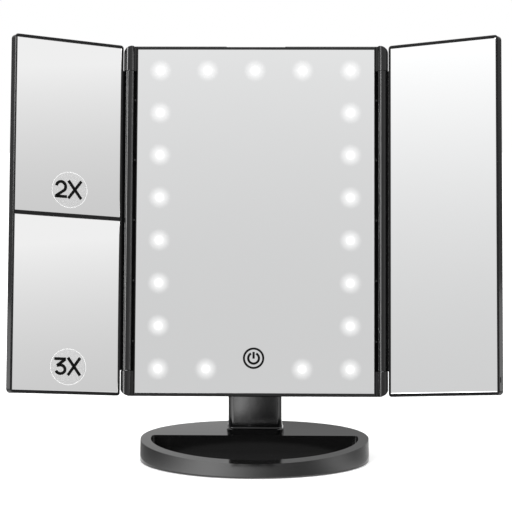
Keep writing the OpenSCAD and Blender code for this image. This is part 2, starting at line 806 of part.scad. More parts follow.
module rear_cover() {
    color(ink) placed() difference() {
        union() {
            difference() {
                dish(0, panel_back);
                translate([0, -eps, 0]) dish(panel_wall, inner_cover);
            }
            // screw pillars and the posts that hold the light boards
            intersection() {
                union() {
                    translate([0, panel_back, 0]) at_cover_screws() rotate([90, 0, 0])
                        cylinder(d = boss_d, h = panel_back - eps);
                }
                slab(seam_y, panel_back - panel_wall / 2) full_outline(panel_wall / 2);
            }
            at_posts() rotate([-90, 0, 0])
                cylinder(d = post_d, h = panel_back - rest_y - panel_wall / 2);
            for (u = [-1, 1]) translate([u * (control_board_w / 2 - post_d),
                control_board_y + board_t + seat_gap, control_board_v + control_board_h / 2])
                rotate([-90, 0, 0])
                    cylinder(d = post_d,
                             h = panel_back - control_board_y - board_t - panel_wall / 2);
            bay_box(bay_wall, bay_front);
            // rim that carries the door, and the mass behind the lugs
            slab(door_y - door_t, panel_back - eps) door_outline(-bay_wall);
            slab(inner_cover - lug_mass_t, panel_back - eps) translate([0, pivot_v])
                square([2 * (lug_out + lug_mass), 2 * (lug_r + lug_mass)], center = true);
            lugs();
        }
        bay_box(0, bay_floor);
        slab(door_y - run_fit, big) door_outline(0);
        // shaft bore and the seats of its head and nut
        translate([0, pivot_back, pivot_v]) rotate([0, 90, 0]) {
            cylinder(d = shaft_d + 2 * run_fit, h = big, center = true);
            for (side = [0, 1]) mirror([0, 0, side]) translate([0, 0, shaft_seat - run_fit])
                cylinder(d = shaft_head_d + 2 * head_play, h = lug_t);
        }
        // screw holes, countersunk from the back
        at_cover_screws() rotate([-90, 0, 0]) {
            translate([0, 0, -eps]) cylinder(d = screw_d + 4 * run_fit, h = panel_back);
            translate([0, 0, cover_screw_seat])
                cylinder(d = screw_head_d + 2 * move_gap, h = panel_back);
        }
        // mouths of the charging socket and the switch
        translate([socket_u, 0, control_v]) slab(seam_y, big)
            rrect(socket_w + 2 * seat_gap, socket_h + 2 * seat_gap, socket_h / 2 - seat_gap);
        translate([-switch_u, 0, control_v]) slab(seam_y, big)
            square([knob_w + 2 * move_gap, knob_l + switch_travel + 2 * move_gap], center = true);
    }
}

module at_posts() {
    for (u = [-led_span / 2, led_span / 2], v = [led_low + led_step / 2, mid_v, led_v1 - led_step / 2])
        translate([u, rest_y, v]) children();
    for (u = [-led_pitch / 2, led_pitch / 2]) translate([u, rest_y, led_v1]) children();
    translate([0, rest_y, led_low - board_w / 4]) children();
}

module centre_mirror() {
    color(silver) placed() slab(0, glass_t) translate([0, mid_v])
        square([glass_w, glass_h], center = true);
}

module light_diffuser() {
    color(pale) placed() slab(diffuser_y, diffuser_y + diffuser_t) translate([0, mid_v])
        difference() {
            rrect(win_w - 2 * seat_gap, win_h - 2 * seat_gap, panel_round - seat_gap);
            translate([0, key_v - mid_v]) circle(d = key_d + 2 * seat_gap);
        }
}

// Two long boards and the two that join them, as one ring
module led_boards() {
    color(board_green) placed() slab(board_y, board_y + board_t) {
        for (u = [-1, 1]) translate([u * led_span / 2, (led_low + led_v1) / 2])
            square([board_w, led_v1 - led_low + board_w], center = true);
        for (v = [led_low, led_v1]) translate([0, v])
            square([led_span, board_w], center = true);
    }
}

// Every light's place on the glass
module at_leds() {
    for (u = [-1, 1], i = [0:led_rows - 1])
        translate([u * led_span / 2, 0, led_low + i * led_step]) children();
    for (i = [1:led_top - 2]) {
        translate([-led_span / 2 + i * led_pitch, 0, led_v1]) children();
        // the lowest row leaves its middle free for the touch key
        if (abs(i - (led_top - 1) / 2) > 0.6)
            translate([-led_span / 2 + i * led_pitch, 0, led_low]) children();
    }
}

module led_chips() {
    color("lightyellow") placed() at_leds() slab(chip_y, chip_y + chip_t)
        square(chip_w, center = true);
}

module touch_pad() {
    color("goldenrod") placed() translate([0, 0, key_v]) slab(glass_t, board_y)
        difference() {
            circle(d = key_d);
            circle(d = key_d / 2);
        }
}

module control_board() {
    color(board_green) placed() translate([0, 0, control_board_v + control_board_h / 2])
        slab(control_board_y, control_board_y + board_t)
            square([control_board_w, control_board_h], center = true);
}

module at_cells() {
    for (i = [0:cells - 1])
        translate([(i - (cells - 1) / 2) * cell_pitch, cell_y, bay_v]) children();
}

module battery_cells() {
    nub_d = 3.8;
    nub_l = 0.8;
    color([0.25, 0.27, 0.3]) placed() at_cells() translate([0, 0, contact_l]) {
        cylinder(d = cell_d, h = cell_l - nub_l);
        translate([0, 0, cell_l - nub_l - eps]) cylinder(d = nub_d, h = nub_l + eps);
    }
}

module contact_plates() {
    color(steel) placed() at_cells() for (z = [run_fit, bay_l - contact_t - run_fit])
        translate([-contact_edge / 2, -contact_edge / 2, z])
            cube([contact_edge, contact_edge, contact_t]);
}

module contact_springs() {
    at = contact_t + 2 * run_fit;
    color(steel) placed() at_cells() {
        translate([0, 0, at]) coil(spring_r + 1, spring_r, contact_l - at - run_fit,
                                   spring_turns, spring_wire, 6);
        translate([0, 0, bay_l - at]) mirror([0, 0, 1])
            cylinder(d = contact_edge / 2, h = contact_l - at - run_fit);
    }
}

module charge_socket() {
    r = socket_h / 2 - 2 * seat_gap;
    back = panel_back - socket_sunk;
    color(steel) placed() translate([socket_u, 0, control_v])
        difference() {
            slab(back - socket_deep, back) rrect(socket_w, socket_h, r);
            slab(back - socket_deep + 2 * socket_lip, panel_back)
                rrect(socket_w - 2 * socket_lip, socket_h - 2 * socket_lip, r - socket_lip);
        }
}

module power_switch() {
    color(steel) placed() translate([-switch_u, 0, control_v]) difference() {
        slab(control_y - switch_body_t, control_y)
            square([switch_body_w, switch_body_l], center = true);
        slab(control_y - switch_deep, panel_back)
            square([knob_w + 2 * move_gap, knob_l + switch_travel + 2 * move_gap], center = true);
    }
}

module switch_knob() {
    color(ink) placed() translate([-switch_u, 0, control_v - switch_travel / 2])
        slab(control_y - switch_deep + move_gap, panel_back + knob_proud)
            square([knob_w, knob_l], center = true);
}

module cover_screws() {
    color(steel) placed() translate([0, cover_screw_seat, 0]) at_cover_screws()
        rotate([90, 0, 0]) screw(screw_d, screw_grip, screw_head_d, screw_head_t);
}

module hinge_pins() {
    color(steel) placed() for (side = [-1, 1], z = [ear_l - pin_l / 2, panel_h - ear_l - pin_l / 2])
        translate([side * axis_u, -axis_front, z + (z < mid_v ? eps : 0)])
            cylinder(d = pin_d, h = pin_l - eps);
}

module battery_door() {
    color(ink) placed() difference() {
        slab(door_y, panel_back) door_outline(seat_gap);
        for (i = [0:door_ridges - 1])
            translate([-ridge_w / 2, panel_back - ridge_deep, bay_v1 - ridge_in - ridge_pitch * i])
                cube([ridge_w, 2 * ridge_deep, ridge_t]);
    }
}

// ---------------------------------------------------------------- side panels

// Outline with tighter corners beside the hinge
module wing_outline() {
    w = wing_s1 - wing_gap;
    inner = w * tight_share;
    outer = w - inner / 2;
    translate([wing_gap + inner / 2, mid_v]) rrect(inner, panel_h, wing_round_in);
    translate([wing_s1 - outer / 2, mid_v]) rrect(outer, panel_h, wing_round_out);
    translate([wing_s1 - outer, mid_v]) square([inner / 2, panel_h], center = true);
}

// Moulded tray of a side panel, with its barrel and web
module wing_tray() {
    front = ridge_n;
    w = wing_s1 - wing_gap;
    difference() {
        union() {
            slab(front + bead_chamfer, wing_back) wing_outline();
            translate([(wing_gap + wing_s1) / 2, 0, mid_v])
                bevel_slab(w, panel_h, wing_round_in, front, bead_chamfer);
            translate([0, 0, barrel_z0]) {
                cylinder(r = barrel_r, h = barrel_z1 - barrel_z0);
                translate([0, web_n, 0])
                    cube([wing_gap + web_in, web_t, barrel_z1 - barrel_z0]);
            }
        }
        for (z = [barrel_z0, barrel_z1]) translate([0, 0, z - pin_l / 2])
            cylinder(d = pin_d + 2 * run_fit, h = pin_l);
    }
}

// A mirror's place in the tray, from height v0 to v1
module pocket(v0, v1, gap) {
    translate([pocket_s0 + gap, v0 + gap])
        square([pocket_s1 - pocket_s0 - 2 * gap, v1 - v0 - 2 * gap]);
}

module at_pads(v0, v1) {
    for (s = [pocket_s0 + pad_d, pocket_s1 - pad_d], v = [v0 + pad_d, (v0 + v1) / 2, v1 - pad_d])
        translate([s, 0, v]) children();
}

module pads(v0, v1) {
    at_pads(v0, v1) slab(pad_n + eps, floor_n - eps) circle(d = pad_d);
}

// Concave mirror: a plate whose front is hollowed by a shallow turned dish that
// reaches its corners
module magnifier(v0, v1, sag) {
    reach = norm([pocket_s1 - pocket_s0, v1 - v0]) / 2;
    hollow = [for (i = [0:dish_steps]) let (t = i / dish_steps)
        [reach * t, -sag * (1 - t * t)]];
    difference() {
        slab(mirror_n, mirror_n + glass_t) pocket(v0, v1, pocket_fit);
        translate([(pocket_s0 + pocket_s1) / 2, mirror_n, (v0 + v1) / 2])
            rotate([90, 0, 0]) rotate_extrude($fn = 96)
                polygon(concat(hollow, [[reach, 1], [0, 1]]));
    }
}

module left_wing_frame() {
    color(ink) hung(-1, left_open) difference() {
        wing_tray();
        slab(-big, floor_n) pocket(end_strip, bar_lo, 0);
        slab(-big, floor_n) pocket(bar_hi, top_v, 0);
    }
}

module mirror_2x() {
    color(silver) hung(-1, left_open) magnifier(bar_hi, top_v, sag_weak);
}

module mirror_3x() {
    color(silver) hung(-1, left_open) magnifier(end_strip, bar_lo, sag_strong);
}

module left_glue_pads() {
    color(pale) hung(-1, left_open) {
        pads(end_strip, bar_lo);
        pads(bar_hi, top_v);
    }
}

module right_wing_frame() {
    color(ink) hung(1, right_open) difference() {
        wing_tray();
        slab(-big, floor_n) pocket(end_strip, top_v, 0);
        translate([wing_s1 - slot_d, slot_n, slot_v - slot_l / 2])
            cube([2 * slot_d, slot_w, slot_l]);
    }
}

module right_mirror() {
    color(silver) hung(1, right_open) slab(mirror_n, mirror_n + glass_t)
        pocket(end_strip, top_v, pocket_fit);
}

module right_glue_pads() {
    color(pale) hung(1, right_open) {
        pads(end_strip, mid_v);
        pads(mid_v, top_v);
    }
}

base_shell();
base_plate();
ballast_plate();
rubber_feet();
base_screws();
neck();
neck_cover();
neck_screws();
foot_bolts();
tilt_shaft();
tilt_nut();
friction_washers();
front_frame();
rear_cover();
centre_mirror();
light_diffuser();
led_boards();
led_chips();
touch_pad();
control_board();
battery_cells();
contact_springs();
contact_plates();
charge_socket();
power_switch();
cover_screws();
hinge_pins();
battery_door();
switch_knob();
left_wing_frame();
mirror_2x();
mirror_3x();
left_glue_pads();
right_wing_frame();
right_mirror();
right_glue_pads();
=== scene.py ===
"""A lit trifold vanity mirror on an oval tray base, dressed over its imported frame."""
import math

import bmesh
import bpy
import numpy as np
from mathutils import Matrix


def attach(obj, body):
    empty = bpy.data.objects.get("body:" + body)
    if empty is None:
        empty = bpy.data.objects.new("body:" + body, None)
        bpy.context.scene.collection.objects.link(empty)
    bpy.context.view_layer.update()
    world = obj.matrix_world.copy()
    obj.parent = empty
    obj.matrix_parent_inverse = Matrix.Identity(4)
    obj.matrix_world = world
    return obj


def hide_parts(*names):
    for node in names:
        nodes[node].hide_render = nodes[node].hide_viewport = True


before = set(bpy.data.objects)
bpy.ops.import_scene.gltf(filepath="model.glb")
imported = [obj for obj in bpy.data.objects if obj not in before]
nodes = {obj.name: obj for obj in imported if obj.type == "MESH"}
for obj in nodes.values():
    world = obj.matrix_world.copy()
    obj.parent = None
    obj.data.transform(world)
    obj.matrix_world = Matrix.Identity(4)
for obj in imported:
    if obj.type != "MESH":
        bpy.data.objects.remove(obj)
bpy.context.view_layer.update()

scene = bpy.context.scene

# ---------------------------------------------------------------- the studio
# The mirror stands on a plain pale table in a soft studio. Its glasses face the viewer
# and lean back, so they show what lies behind the viewer: grey low down, brighter above.


class Field:
    """A value that varies over a surface: each operator adds its Math node."""

    def __init__(self, shader, socket):
        self.shader, self.socket = shader, socket

    def math(self, operation, *others):
        sockets = {f"i{at}": value for at, value in enumerate((self, *others))}
        return self.shader.out(
            self.shader.node("ShaderNodeMath", {"operation": operation}, **sockets))

    def __add__(self, o): return self.math("ADD", o)
    def __radd__(self, o): return self.math("ADD", o)
    def __sub__(self, o): return self.math("SUBTRACT", o)
    def __rsub__(self, o): return self.math("MULTIPLY_ADD", -1.0, o)
    def __mul__(self, o): return self.math("MULTIPLY", o)
    def __rmul__(self, o): return self.math("MULTIPLY", o)
    def __truediv__(self, o): return self.math("DIVIDE", o)

    def between(self, low, high):
        """Goes smoothly from 0 at low to 1 at high."""
        return self.shader.out(self.shader.node(
            "ShaderNodeMapRange", {"interpolation_type": "SMOOTHSTEP"}, i0=self, i1=low, i2=high))


class Shader:
    """The emptied node tree of a material or world. Node adds any node from its type, its
    settings and its sockets, by name or, as i0, by place; out gives a socket as a field."""

    def __init__(self, owner):
        owner.use_nodes = True
        self.tree = owner.node_tree
        self.tree.nodes.clear()

    def node(self, kind, settings=None, **sockets):
        n = self.tree.nodes.new(kind)
        for name, value in (settings or {}).items():
            setattr(n, name, value)
        for name, value in sockets.items():
            by_place = name[0] == "i" and name[1:].isdigit()
            socket = n.inputs[int(name[1:]) if by_place else name.replace("_", " ")]
            if isinstance(value, Field):
                self.tree.links.new(value.socket, socket)
            else:
                socket.default_value = value
        return n

    def out(self, n, name=0):
        return Field(self, n.outputs[name])


# The walls by direction. The one behind the viewer is grey up to its foot's height, which
# is lower at the sides, and brightens with the square of the climb above it; far to the
# right it evens out. A dim backdrop hangs beyond the mirror, and the lens sees it white.
WALL_GREY, WALL_FOOT, SIDE_FOOT = 0.635, 0.267, 0.177
WALL_RISE, SIDE_RISE, WALL_TOP = 7.7, 12.6, 1.15
RIGHT_GREY, RIGHT_FROM, RIGHT_FULL = 0.88, 0.35, 0.7
DROP_GREY, DROP_SIDE, DROP_RISE, DROP_TOP = 0.10, 0.4, 1.15, 1.1
DROP_FROM, DROP_FULL = -0.2, 0.1
world = bpy.data.worlds.new("studio")
scene.world = world
s = Shader(world)
direction = s.out(s.node("ShaderNodeTexCoord"), "Generated")
xyz = s.node("ShaderNodeSeparateXYZ", i0=direction)
east, north, up = s.out(xyz, 0), s.out(xyz, 1), s.out(xyz, 2)
aside = east * east
climb = (up - WALL_FOOT + SIDE_FOOT * aside).math("MAXIMUM", 0.0)
wall = WALL_GREY + (WALL_RISE + SIDE_RISE * aside) * climb * climb
far_right = east.between(RIGHT_FROM, RIGHT_FULL)
wall = wall * (1.0 - far_right) + RIGHT_GREY * far_right
backdrop = DROP_GREY + DROP_SIDE * aside + DROP_RISE * up.math("MAXIMUM", 0.0)
beyond = north.between(DROP_FROM, DROP_FULL)
glow = (wall.math("MINIMUM", WALL_TOP) * (1.0 - beyond)
        + backdrop.math("MINIMUM", DROP_TOP) * beyond)
seen = s.out(s.node("ShaderNodeLightPath"), "Is Camera Ray")
glow = glow * (1.0 - seen) + seen
light = s.node("ShaderNodeBackground", Color=(1, 1, 1, 1), Strength=glow)
s.node("ShaderNodeOutputWorld", Surface=s.out(light))

TABLE_R, TABLE_GLOW = 2.6, 0.25
bpy.ops.mesh.primitive_circle_add(vertices=128, radius=TABLE_R, fill_type="NGON")
table = bpy.context.object
table.name = "table_top"
pale = bpy.data.materials.new("pale_table")
s = Shader(pale)
body = s.node("ShaderNodeBsdfPrincipled", Base_Color=(0.98, 0.98, 0.98, 1), Roughness=0.9,
              Specular_IOR_Level=0.0, Emission_Color=(1, 1, 1, 1),
              Emission_Strength=TABLE_GLOW)
s.node("ShaderNodeOutputMaterial", Surface=s.out(body))
table.data.materials.append(pale)


def softbox(name, at, towards, size, watts):
    """A rectangular area light at one point, turned to face another."""
    lamp = bpy.data.lights.new(name, "AREA")
    lamp.shape, lamp.size, lamp.size_y, lamp.energy = "RECTANGLE", size[0], size[1], watts
    o = bpy.data.objects.new(name, lamp)
    scene.collection.objects.link(o)
    o.location = at
    x, y, z = (b - a for a, b in zip(at, towards))
    o.rotation_euler = (math.atan2(math.hypot(x, y), -z), 0, math.atan2(-x, y))


softbox("key_left", (-1.26, -1.37, 0.75), (0, 0, 0.12), (0.3, 1.2), 16)
softbox("fill_right", (1.65, -0.28, 0.8), (0, 0, 0.12), (0.25, 1.2), 3)
softbox("top", (0, -0.1, 2.2), (0, 0, 0), (2.2, 2.2), 22)
softbox("rear_left", (-0.46, 0.9, 0.3), (-0.46, 0, 0.3), (0.9, 0.6), 0.5)

# A graded card lies on the table before the base, out of the lens's sight, for the black
# gloss to mirror. Its near ring shows in the base's wall; past the ring, the strip in the
# middle shows in the neck. The strip's lobes lie from left to right, all others by bearing.
CARD_IN, CARD_OUT, CARD_Z, CARD_SPAN, CARD_STEPS = (0.084, 0.065), 0.5, 0.0008, 260, 53
STRIP_EDGE, STRIP_SPREAD, STRIP_FADE = (0.027, 0.035), 20.0, (0.095, 0.175)
RING_MIDDLE, RING_SIDE = (0.106, 0.116), (0.140, 0.165)
CARD_LEVEL, STRIP_LEVEL = 4.8, 1.2
ring_lights = (0.745, 0.38, 0.113), (0.277, 0.737, 0.058)
wide_lights = (0.578, 0.357, 0.156), (0.27, 0.755, 0.112)
strip_lights = (0.30, 0.172, 0.046), (0.62, 0.163, 0.235), (0.244, 0.827, 0.069)
RING_BASE, RING_RISE, WIDE_BASE, STRIP_BASE = 0.054, 0.098, 0.045, 0.045


def lobes(base, at, lights):
    """Soft lobes of light on a base tone: each of a strength, at a place and of a width
    adds strength * exp(-((at - place) / width)^2)."""
    tone = base
    for strength, place, width in lights:
        off = (at - place) * (1 / width)
        tone = tone + strength * (off * off * -1.0).math("EXPONENT")
    return tone


bearing = np.radians(np.linspace(270 - CARD_SPAN / 2, 270 + CARD_SPAN / 2, CARD_STEPS))
card_points = np.concatenate([
    np.stack([x * np.cos(bearing), y * np.sin(bearing), np.full(CARD_STEPS, CARD_Z)], 1)
    for x, y in (CARD_IN, (CARD_OUT, CARD_OUT))])
i = np.arange(CARD_STEPS - 1)
card_faces = np.stack([i, i + CARD_STEPS, i + CARD_STEPS + 1, i + 1], 1)
card_mesh = bpy.data.meshes.new("graded_card")
card_mesh.from_pydata(card_points.tolist(), [], card_faces.tolist())
card = bpy.data.objects.new("graded_card", card_mesh)
scene.collection.objects.link(card)
graded = bpy.data.materials.new("graded_card")
s = Shader(graded)
xyz = s.node("ShaderNodeSeparateXYZ", i0=s.out(s.node("ShaderNodeTexCoord"), "Object"))
across, away = s.out(xyz, 0), s.out(xyz, 1)
turned = across.math("ARCTAN2", 0.0 - away) * (180 / math.pi / CARD_SPAN) + 0.5
reach = (across * across + away * away).math("SQRT")
side = across.math("ABSOLUTE").between(*STRIP_EDGE)
past_ring = reach.between(*RING_MIDDLE) * (1.0 - side) + reach.between(*RING_SIDE) * side
ring = lobes(RING_BASE + RING_RISE * turned, turned, ring_lights)
wide = lobes(WIDE_BASE, turned, wide_lights)
strip = lobes(STRIP_BASE, across * STRIP_SPREAD + 0.5, strip_lights) * reach.between(*STRIP_FADE)
outer = strip * (1.0 - side) + wide * side
level = CARD_LEVEL * (ring * (1.0 - past_ring) + STRIP_LEVEL * outer * past_ring)
shine = s.node("ShaderNodeEmission", Color=(1, 1, 1, 1), Strength=level)
s.node("ShaderNodeOutputMaterial", Surface=s.out(shine))
card_mesh.materials.append(graded)
card.visible_camera = card.visible_diffuse = card.visible_shadow = False

# A long lens a step away, a little above the mirror and looking slightly down.
LENS_AT = (0.03768, -1.55547, 0.34518)
LENS_DOWN, LENS_LEFT = 7.39, 1.35
FOCAL_PIXELS, FRAME_PIXELS, SENSOR = 2273.56, 512, 36.0
lens = bpy.data.cameras.new("view")
lens.sensor_width = SENSOR
lens.lens = FOCAL_PIXELS / FRAME_PIXELS * SENSOR
lens.clip_end = 200
camera = bpy.data.objects.new("view", lens)
camera.location = LENS_AT
camera.rotation_euler = (math.radians(90 - LENS_DOWN), 0, math.radians(LENS_LEFT))
scene.collection.objects.link(camera)
scene.camera = camera
scene.view_settings.view_transform = "Standard"
scene.view_settings.look = "None"

# ---------------------------------------------------------------- the oval base
# One oval shell with a sunk tray, injection moulded in black ABS and polished in the
# tool. It is a shade greyer than the rest, with a faint ripple and hairline scuffs.


def finished(name, fixed, varied, bump=None):
    """A material from fixed socket values, and from fields that vary over the piece."""
    m = bpy.data.materials.new(name)
    s = Shader(m)
    place = s.out(s.node("ShaderNodeTexCoord"), "Object")
    sockets = {**fixed, **varied(s, place)}
    if bump:
        height, strength, distance = bump(s, place)
        sockets["Normal"] = s.out(s.node("ShaderNodeBump", Strength=strength,
                                         Distance=distance, Height=height))
    surface = s.node("ShaderNodeBsdfPrincipled", **sockets)
    s.node("ShaderNodeOutputMaterial", Surface=s.out(surface))
    return m


def noise(s, place, scale, detail=3.0, stretch=None):
    """Noise of a given scale, drawn out along the axes by stretch."""
    if stretch:
        place = s.out(s.node("ShaderNodeMapping", i0=place, Scale=stretch))
    return s.out(s.node("ShaderNodeTexNoise", Vector=place, Scale=scale, Detail=detail))


def mixed(s, factor, a, b):
    """Goes from colour a to colour b as the factor rises."""
    return s.out(s.node("ShaderNodeMix", {"data_type": "RGBA"}, i0=factor, i6=(*a, 1),
                        i7=(*b, 1)), 2)


def polish(low, high):
    """Polished ABS: a cloudy drift from colour low to high, with finer upright scuffs."""
    def fields(s, place):
        cloud = noise(s, place, 22, 4)
        scuff = noise(s, place, 260, 2, (1, 1, 0.08)).between(0.62, 0.74)
        return {"Base_Color": mixed(s, cloud, low, high),
                "Roughness": 0.07 + 0.05 * cloud + 0.06 * scuff}
    return fields


def ripple(s, place):
    """The faint waviness of a polished moulding: height, strength, distance."""
    return noise(s, place, 420, 2), 0.02, 0.0004


MOULD_EDGE = 0.00025


def moulding(name, node, body, material, edge=MOULD_EDGE, lined=None, shape=None):
    """A copy of a node's solid, welded, its flat faces joined and its edges eased. Shape
    moves its points; lined is a second material and a test for the faces that take it."""
    mesh = nodes[node].data.copy()
    mesh.name = name
    b = bmesh.new()
    b.from_mesh(mesh)
    bmesh.ops.remove_doubles(b, verts=b.verts, dist=2e-6)
    for vert in b.verts if shape else ():
        vert.co = shape(vert.co)
    bmesh.ops.dissolve_limit(b, angle_limit=math.radians(0.4), verts=b.verts, edges=b.edges)
    for face in b.faces:
        face.smooth = True
    b.to_mesh(mesh)
    b.free()
    o = bpy.data.objects.new(name, mesh)
    scene.collection.objects.link(o)
    mesh.materials.clear()
    mesh.materials.append(material)
    if lined:
        second, takes_it = lined
        mesh.materials.append(second)
        for face in mesh.polygons:
            face.material_index = int(takes_it(face.center, face.normal))
    bevel = o.modifiers.new("eased_edges", "BEVEL")
    bevel.width, bevel.segments = edge, 2
    bevel.limit_method, bevel.angle_limit = "ANGLE", math.radians(28)
    bevel.harden_normals = False
    even = o.modifiers.new("even_shading", "WEIGHTED_NORMAL")
    even.keep_sharp = True
    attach(o, body)
    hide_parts(node)


base_gloss = finished("black_gloss_base", {"IOR": 1.5},
                      polish((0.0055, 0.0055, 0.0056), (0.0085, 0.0085, 0.0086)), ripple)
moulding("oval_base", "base_shell", "stand", base_gloss, 0.0004)

# ---------------------------------------------------------------- ballast, base cover and feet
# A zinc-plated steel plate weighs the base down. It lies in a pocket of the moulded cover,
# which is screwed up into the base; soft rubber feet are pressed into the cover's sockets.


def plain(name, low, high, rough, metal=0.0, scale=120):
    """A finish whose colour and roughness drift with fine noise, over a finer relief."""
    def fields(s, place):
        drift = noise(s, place, scale, 4)
        return {"Base_Color": mixed(s, drift, low, high),
                "Roughness": (rough - 0.06) + 0.12 * drift}

    def relief(s, place):
        return noise(s, place, scale * 6, 2), 0.08, 0.0003
    return finished(name, {"Metallic": metal}, fields, relief)


def dress(material, *names):
    """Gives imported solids, which keep their shape, the finish of the real piece."""
    for name in names:
        mesh = nodes[name].data
        mesh.materials.clear()
        mesh.materials.append(material)


zinc = plain("zinc_plate", (0.55, 0.56, 0.58), (0.72, 0.72, 0.73), 0.32, 1.0, 300)
dress(zinc, "ballast_plate", "base_screws")

frame_black = (0.0015, 0.0015, 0.0017), (0.004, 0.004, 0.0042)
black_gloss = finished("black_gloss_abs", {"IOR": 1.5}, polish(*frame_black), ripple)
moulding("base_cover", "base_plate", "stand", black_gloss)

foot_rubber = plain("foot_rubber", (0.02, 0.02, 0.02), (0.035, 0.035, 0.035), 0.8, 0.0, 500)
dress(foot_rubber, "rubber_feet")

# ---------------------------------------------------------------- the neck
# A hollow column moulded in black ABS, with a collar and a short flare at its foot. Steel
# bolts hold it from inside the base, and screws hold its rear plate, which closes it.
COLLAR_TOP, FLARE_TOP, FLARE_LEFT, COLLAR_FOOT = 0.0193, 0.0274, 0.2, 0.0160
COLLAR_DRAWN, COLLAR_NARROWED = 0.001, 0.05
NECK_SIDE, NECK_FRONT = 0.0174, 0.0122
REAR_FROM, REAR_RUN = 0.020, 0.004


def beaded(at):
    """The neck's foot: the flare z goes to top + 0.2 (z - top), and the collar's lower
    ring draws in by 1 mm, so the collar stands out as a bead. The rear keeps its shape."""
    x, y, z = at
    skin = abs(x) > NECK_SIDE or y < NECK_FRONT
    front = 1 - min(max((y - REAR_FROM) / REAR_RUN, 0.0), 1.0)
    if skin and COLLAR_TOP < z < FLARE_TOP:
        z = z - front * (1 - FLARE_LEFT) * (z - COLLAR_TOP)
    if skin and z < COLLAR_FOOT:
        x = x * (1 - COLLAR_NARROWED * front)
        y = y + (COLLAR_DRAWN if y < NECK_FRONT else 0.0)
    return x, y, z


moulding("neck_column", "neck", "stand", black_gloss, shape=beaded)
moulding("neck_rear_plate", "neck_cover", "stand", black_gloss)
dress(zinc, "foot_bolts", "neck_screws")

# ---------------------------------------------------------------- the tilt joint
# A plated steel shaft through the lugs of the neck and the back cover. A nut draws the
# joint up on two friction washers, so the panel stays where it is tilted.
dress(zinc, "tilt_shaft", "friction_washers", "tilt_nut")

# ---------------------------------------------------------------- the back cover
# A shallow tray moulded in black ABS, with the tilt lugs and the battery bay. The charging
# socket and the slide switch, in plated cans, sit in its openings.
moulding("centre_back", "rear_cover", "panel", black_gloss)
dress(zinc, "charge_socket", "power_switch")
moulding("switch_cap", "switch_knob", "knob", black_gloss)

# ---------------------------------------------------------------- cells and their door
# Four sleeved dry cells lie between plated coils and plates, which are pushed into the
# ends of the bay. The moulded door slides up along the bay's rails.
cell_sleeve = plain("cell_sleeve", (0.10, 0.11, 0.12), (0.16, 0.17, 0.19), 0.35, 0.4, 200)
dress(cell_sleeve, "battery_cells")
dress(zinc, "contact_springs", "contact_plates")
moulding("cell_door", "battery_door", "door", black_gloss)

# ---------------------------------------------------------------- boards and diffuser
# Green laminate boards carry the control parts and the light chips, yellow with phosphor.
# A copper touch pad and a milky sheet of acrylic lie between them and the glass.
laminate = plain("solder_mask", (0.02, 0.11, 0.05), (0.03, 0.16, 0.07), 0.3, 0.0, 240)
dress(laminate, "control_board", "led_boards")
phosphor = plain("chip_phosphor", (0.9, 0.8, 0.35), (0.96, 0.9, 0.5), 0.4, 0.0, 900)
dress(phosphor, "led_chips")
pad_copper = plain("pad_copper", (0.75, 0.42, 0.22), (0.86, 0.55, 0.32), 0.35, 1.0, 300)
dress(pad_copper, "touch_pad")
milky = plain("milky_sheet", (0.86, 0.86, 0.83), (0.93, 0.93, 0.91), 0.5, 0.0, 80)
dress(milky, "light_diffuser")

# ---------------------------------------------------------------- the centre frame
# The front moulding of black ABS, with an ear at each corner for the hinge pins and a
# channel beside the glass at either side, whose faces carry a dull near-black as painted
# shade of the deep gap behind the barrels. Screws from the back cover hold it.
LEAN = math.radians(13.16)
TILT_Y, TILT_Z = 0.0183, 0.0688      # the tilt axis, in the frame
AXIS_BACK, AXIS_UP = 0.0251, 0.028   # the same axis, behind and above the panel's corner
HINGE_X = 0.08845
EAR_LOW, EAR_HIGH, EAR_GROWTH = 0.0185, 0.2265, 1.27
CHANNEL_X, CHANNEL_FRONT, CHANNEL_BACK = 0.0836, 0.0012, 0.0058


def upright(at):
    """Depth and height of a point on the panel, once it is turned back upright."""
    y, z = at[1] - TILT_Y, at[2] - TILT_Z
    return (AXIS_BACK + y * math.cos(LEAN) - z * math.sin(LEAN),
            AXIS_UP + y * math.sin(LEAN) + z * math.cos(LEAN))


def painted_shade_faces(at, normal):
    """The channels beside the glass, behind the side panels' barrels, whose faces take a painted
    shade.
    """
    depth = upright(at)[0]
    return abs(at[0]) > CHANNEL_X and CHANNEL_FRONT < depth < CHANNEL_BACK and normal[1] < 0.5


def eared(at):
    """The hinge ears: beyond the hinge axis x goes to axis + 1.27 (x - axis)."""
    x, y, z = at
    past = abs(x) - HINGE_X
    if past > 0 and not EAR_LOW < upright(at)[1] < EAR_HIGH:
        x = math.copysign(HINGE_X + EAR_GROWTH * past, x)
    return x, y, z


# Painted shade: a dull near-black with little shine on the channels' faces, standing in for the
# shade deep in the gap behind the barrels.
channel_painted_shade = finished(
    "painted_shade_channel", {"IOR": 1.5, "Specular_IOR_Level": 0.12},
    lambda s, place: {
        "Base_Color": mixed(s, noise(s, place, 700), (0.001, 0.001, 0.001),
                            (0.003, 0.003, 0.003)),
        "Roughness": 0.6 + 0.2 * noise(s, place, 300, 2)})
moulding("centre_frame", "front_frame", "panel", black_gloss, 0.0002,
         lined=(channel_painted_shade, painted_shade_faces), shape=eared)
dress(zinc, "cover_screws")

# ---------------------------------------------------------------- the centre mirror
# Silvered float glass, cut square with a narrow polished bevel all round, and laid on the
# ledge of the centre frame. The silver has a faint haze and a few wiped smears.
GLASS_T, EDGE_DROP, GLASS_POINTS = 0.002, 0.00007, 33


def lean(p):
    """Points of the upright panel, turned back about the tilt axis by the lean."""
    x, y, z = p[..., 0], p[..., 1] - AXIS_BACK, p[..., 2] - AXIS_UP
    return np.stack([x, TILT_Y + y * math.cos(LEAN) + z * math.sin(LEAN),
                     TILT_Z - y * math.sin(LEAN) + z * math.cos(LEAN)], -1)


